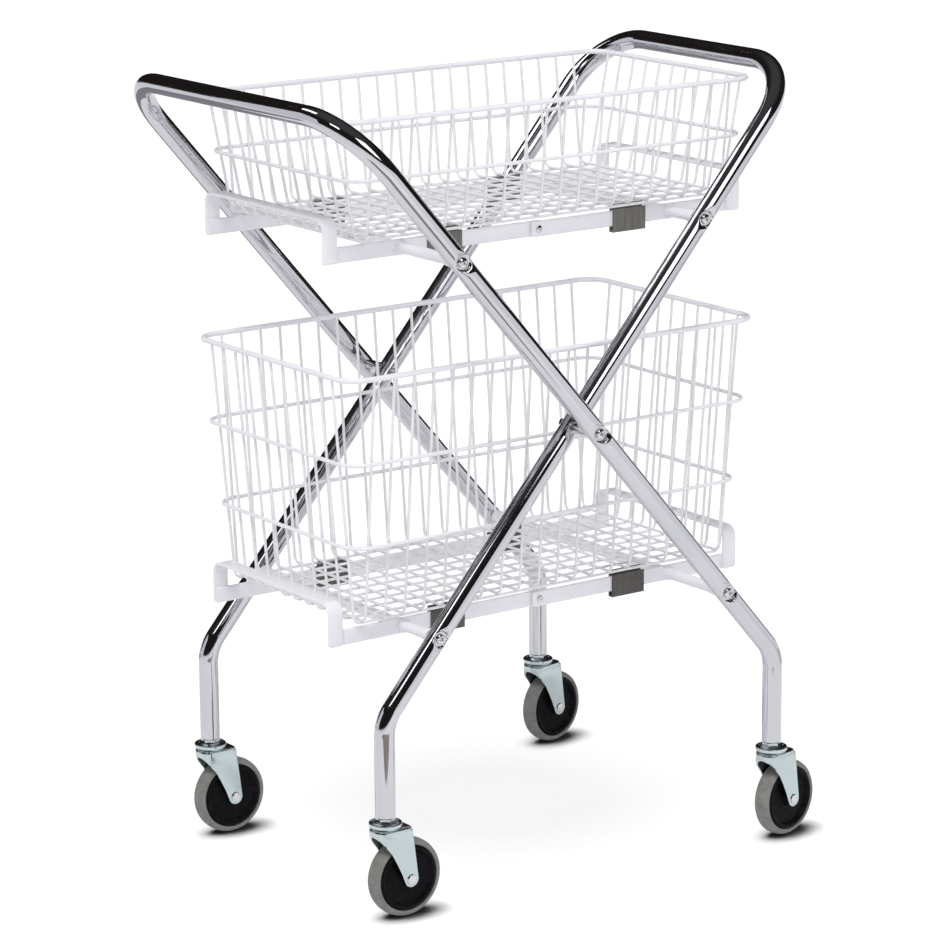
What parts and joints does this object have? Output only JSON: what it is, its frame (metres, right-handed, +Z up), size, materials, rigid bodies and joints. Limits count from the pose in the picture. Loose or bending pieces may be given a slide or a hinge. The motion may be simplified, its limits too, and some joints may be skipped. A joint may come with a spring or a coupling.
{
  "type": "folding basket cart",
  "caption": "Folding X-frame utility cart of crossed chrome tubes with a shallow upper and a deep lower white wire basket on hinged shelf frames, rolling on swivel casters.",
  "frame": {"origin": "on the floor, midway between the four casters and under the frame pivots", "axes": "+Z up, -X to the front where the outer frame has its handle, +Y across the cart to its right side"},
  "size_m": [0.6568, 0.4818, 0.8877],
  "materials": {
    "chrome": "polished chrome plate",
    "bright_steel": "bright plated fasteners",
    "zinc": "bright zinc plate with a faint blue tint",
    "white_enamel": "white baked coating, semi-gloss",
    "white_coating": "white coating over thin wire, semi-gloss",
    "clip_grey": "dark warm grey moulding, satin",
    "hub_black": "black moulding, satin",
    "tread_grey": "grey non-marking rubber, matte"
  },
  "bodies": {
    "pivots": {"pivot_bolt_left": "bright_steel", "pivot_bolt_right": "bright_steel", "pivot_nut_left": "bright_steel", "pivot_nut_right": "bright_steel", "pivot_spacer_left": "bright_steel", "pivot_spacer_right": "bright_steel"},
    "outer_frame": {"outer_frame_tube": "chrome", "cross_tube_upper_front": "white_enamel", "cross_screw_upper_front_left": "bright_steel", "cross_screw_upper_front_right": "bright_steel", "cross_tube_lower_rear": "white_enamel", "cross_screw_lower_rear_left": "bright_steel", "cross_screw_lower_rear_right": "bright_steel", "caster_stem_rear_left": "zinc", "caster_stem_rear_right": "zinc"},
    "inner_frame": {"inner_frame_tube": "chrome", "cross_tube_upper_rear": "white_enamel", "cross_screw_upper_rear_left": "bright_steel", "cross_screw_upper_rear_right": "bright_steel", "cross_tube_lower_front": "white_enamel", "cross_screw_lower_front_left": "bright_steel", "cross_screw_lower_front_right": "bright_steel", "caster_stem_front_left": "zinc", "caster_stem_front_right": "zinc"},
    "upper_front_half": {"half_frame_upper_front": "white_enamel", "clip_upper_front_left": "clip_grey", "clip_upper_front_right": "clip_grey"},
    "upper_rear_half": {"half_frame_upper_rear": "white_enamel", "clip_upper_rear_left": "clip_grey", "clip_upper_rear_right": "clip_grey", "mid_rivet_upper_left": "bright_steel", "mid_rivet_upper_right": "bright_steel"},
    "lower_front_half": {"half_frame_lower_front": "white_enamel", "clip_lower_front_left": "clip_grey", "clip_lower_front_right": "clip_grey"},
    "lower_rear_half": {"half_frame_lower_rear": "white_enamel", "clip_lower_rear_left": "clip_grey", "clip_lower_rear_right": "clip_grey", "mid_rivet_lower_left": "bright_steel", "mid_rivet_lower_right": "bright_steel"},
    "upper_basket": {"upper_basket_rim": "white_enamel", "upper_basket_wires": "white_coating"},
    "lower_basket": {"lower_basket_rim": "white_enamel", "lower_basket_wires": "white_coating"},
    "caster_front_left": {"caster_fork_front_left": "zinc", "caster_axle_front_left": "bright_steel"},
    "wheel_front_left": {"wheel_hub_front_left": "hub_black", "wheel_tread_front_left": "tread_grey"},
    "caster_front_right": {"caster_fork_front_right": "zinc", "caster_axle_front_right": "bright_steel"},
    "wheel_front_right": {"wheel_hub_front_right": "hub_black", "wheel_tread_front_right": "tread_grey"},
    "caster_rear_left": {"caster_fork_rear_left": "zinc", "caster_axle_rear_left": "bright_steel"},
    "wheel_rear_left": {"wheel_hub_rear_left": "hub_black", "wheel_tread_rear_left": "tread_grey"},
    "caster_rear_right": {"caster_fork_rear_right": "zinc", "caster_axle_rear_right": "bright_steel"},
    "wheel_rear_right": {"wheel_hub_rear_right": "hub_black", "wheel_tread_rear_right": "tread_grey"}
  },
  "joints": [
    {"name": "upper_basket_lift", "type": "slide", "parent": "pivots", "child": "upper_basket", "axis": [0, 0, 1], "range_m": [0, 1.08]},
    {"name": "lower_basket_lift", "type": "slide", "parent": "pivots", "child": "lower_basket", "axis": [0, 0, 1], "range_m": [0, 0.15601]},
    {"name": "outer_frame_fold", "type": "hinge", "parent": "pivots", "child": "outer_frame", "pos_m": [0, 0, 0.5115], "axis": [0, 1, 0], "range_deg": [0, 30]},
    {"name": "inner_frame_fold", "type": "hinge", "parent": "pivots", "child": "inner_frame", "pos_m": [0, 0, 0.5115], "axis": [0, -1, 0], "range_deg": [0, 30]},
    {"name": "upper_front_half_tilt", "type": "hinge", "parent": "outer_frame", "child": "upper_front_half", "pos_m": [-0.18107, 0, 0.7198], "axis": [0, -1, 0], "range_deg": [0, 103.09]},
    {"name": "upper_rear_half_tilt", "type": "hinge", "parent": "inner_frame", "child": "upper_rear_half", "pos_m": [0.18107, 0, 0.7198], "axis": [0, 1, 0], "range_deg": [0, 103.09]},
    {"name": "lower_front_half_tilt", "type": "hinge", "parent": "inner_frame", "child": "lower_front_half", "pos_m": [-0.18107, 0, 0.3032], "axis": [0, -1, 0], "range_deg": [0, 43.09]},
    {"name": "lower_rear_half_tilt", "type": "hinge", "parent": "outer_frame", "child": "lower_rear_half", "pos_m": [0.18107, 0, 0.3032], "axis": [0, 1, 0], "range_deg": [0, 43.09]},
    {"name": "caster_front_left_swivel", "type": "hinge", "parent": "inner_frame", "child": "caster_front_left", "pos_m": [-0.2515, -0.1755, 0.1], "axis": [0, 0, 1], "continuous": true},
    {"name": "wheel_front_left_roll", "type": "hinge", "parent": "caster_front_left", "child": "wheel_front_left", "pos_m": [-0.228, -0.1755, 0.044], "axis": [0, 1, 0], "continuous": true},
    {"name": "caster_front_right_swivel", "type": "hinge", "parent": "inner_frame", "child": "caster_front_right", "pos_m": [-0.2515, 0.1755, 0.1], "axis": [0, 0, 1], "continuous": true},
    {"name": "wheel_front_right_roll", "type": "hinge", "parent": "caster_front_right", "child": "wheel_front_right", "pos_m": [-0.228, 0.1755, 0.044], "axis": [0, 1, 0], "continuous": true},
    {"name": "caster_rear_left_swivel", "type": "hinge", "parent": "outer_frame", "child": "caster_rear_left", "pos_m": [0.2515, -0.221, 0.1], "axis": [0, 0, 1], "continuous": true},
    {"name": "wheel_rear_left_roll", "type": "hinge", "parent": "caster_rear_left", "child": "wheel_rear_left", "pos_m": [0.27464, -0.21692, 0.044], "axis": [-0.1736, 0.9848, 0], "continuous": true},
    {"name": "caster_rear_right_swivel", "type": "hinge", "parent": "outer_frame", "child": "caster_rear_right", "pos_m": [0.2515, 0.221, 0.1], "axis": [0, 0, 1], "continuous": true},
    {"name": "wheel_rear_right_roll", "type": "hinge", "parent": "caster_rear_right", "child": "wheel_rear_right", "pos_m": [0.27464, 0.22508, 0.044], "axis": [-0.1736, 0.9848, 0], "continuous": true}
  ],
  "couplings": [
    {"joint": "lower_basket_lift", "follows": "upper_basket_lift", "ratio": 0.14444},
    {"joint": "outer_frame_fold", "follows": "upper_basket_lift", "rad_per_m": 0.48481},
    {"joint": "inner_frame_fold", "follows": "upper_basket_lift", "rad_per_m": 0.48481},
    {"joint": "upper_front_half_tilt", "follows": "upper_basket_lift", "rad_per_m": 1.666},
    {"joint": "upper_rear_half_tilt", "follows": "upper_basket_lift", "rad_per_m": 1.666},
    {"joint": "lower_front_half_tilt", "follows": "upper_basket_lift", "rad_per_m": 0.69639},
    {"joint": "lower_rear_half_tilt", "follows": "upper_basket_lift", "rad_per_m": 0.69639}
  ]
}
